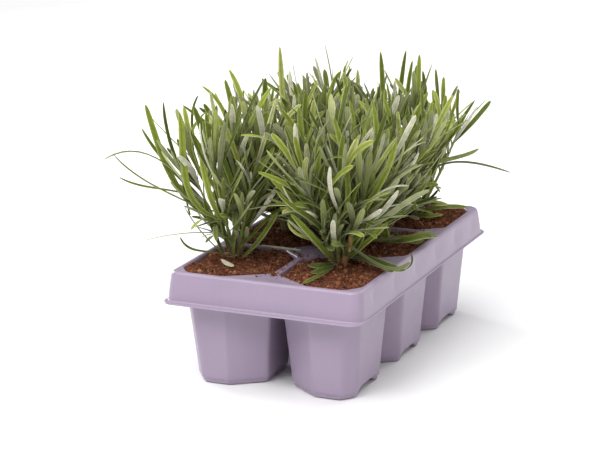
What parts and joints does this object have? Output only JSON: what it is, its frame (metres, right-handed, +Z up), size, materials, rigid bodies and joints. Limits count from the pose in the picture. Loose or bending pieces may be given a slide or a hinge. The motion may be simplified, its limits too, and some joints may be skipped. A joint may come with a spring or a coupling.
{
  "type": "lavender in a tray",
  "caption": "Young lavender plants with narrow grey-green leaves, growing in coir soil in a lilac moulded multi-cell tray with tapered pots and a skirted rim.",
  "frame": {"origin": "middle of the underside, on the plane the pots stand on, at the middle of the whole object's length and width", "axes": "+X across the two cells, +Y along the three cells, +Z up"},
  "size_m": [0.2391, 0.263, 0.2185],
  "materials": {
    "tray_plastic": "thin moulded lilac plastic, satin, with soft highlights on its edges",
    "coir_soil": "moist red-brown coir and peat, rough and crumbly with fibres",
    "woody_stem": "dry brown bark, fibrous and grooved",
    "lavender_leaf": "narrow leaves, green above and silvery below, finely felted"
  },
  "bodies": {
    "root": {"crown_back_left": "woody_stem", "crown_back_right": "woody_stem", "crown_front_left": "woody_stem", "crown_front_right": "woody_stem", "crown_middle_left": "woody_stem", "crown_middle_right": "woody_stem", "shoot_back_left_1": "lavender_leaf", "shoot_back_left_2": "lavender_leaf", "shoot_back_left_3": "lavender_leaf", "shoot_back_left_4": "lavender_leaf", "shoot_back_left_5": "lavender_leaf", "shoot_back_left_6": "lavender_leaf", "shoot_back_left_7": "lavender_leaf", "shoot_back_left_8": "lavender_leaf", "shoot_back_right_1": "lavender_leaf", "shoot_back_right_2": "lavender_leaf", "shoot_back_right_3": "lavender_leaf", "shoot_back_right_4": "lavender_leaf", "shoot_back_right_5": "lavender_leaf", "shoot_back_right_6": "lavender_leaf", "shoot_back_right_7": "lavender_leaf", "shoot_back_right_8": "lavender_leaf", "shoot_front_left_1": "lavender_leaf", "shoot_front_left_2": "lavender_leaf", "shoot_front_left_3": "lavender_leaf", "shoot_front_left_4": "lavender_leaf", "shoot_front_left_5": "lavender_leaf", "shoot_front_left_6": "lavender_leaf", "shoot_front_left_7": "lavender_leaf", "shoot_front_left_8": "lavender_leaf", "shoot_front_right_1": "lavender_leaf", "shoot_front_right_2": "lavender_leaf", "shoot_front_right_3": "lavender_leaf", "shoot_front_right_4": "lavender_leaf", "shoot_front_right_5": "lavender_leaf", "shoot_front_right_6": "lavender_leaf", "shoot_front_right_7": "lavender_leaf", "shoot_front_right_8": "lavender_leaf", "shoot_middle_left_1": "lavender_leaf", "shoot_middle_left_2": "lavender_leaf", "shoot_middle_left_3": "lavender_leaf", "shoot_middle_left_4": "lavender_leaf", "shoot_middle_left_5": "lavender_leaf", "shoot_middle_left_6": "lavender_leaf", "shoot_middle_left_7": "lavender_leaf", "shoot_middle_right_1": "lavender_leaf", "shoot_middle_right_2": "lavender_leaf", "shoot_middle_right_3": "lavender_leaf", "shoot_middle_right_4": "lavender_leaf", "shoot_middle_right_5": "lavender_leaf", "shoot_middle_right_6": "lavender_leaf", "shoot_middle_right_7": "lavender_leaf", "shoot_middle_right_8": "lavender_leaf", "soil_back_left": "coir_soil", "soil_back_right": "coir_soil", "soil_front_left": "coir_soil", "soil_front_right": "coir_soil", "soil_middle_left": "coir_soil", "soil_middle_right": "coir_soil", "tray": "tray_plastic"}
  },
  "joints": []
}
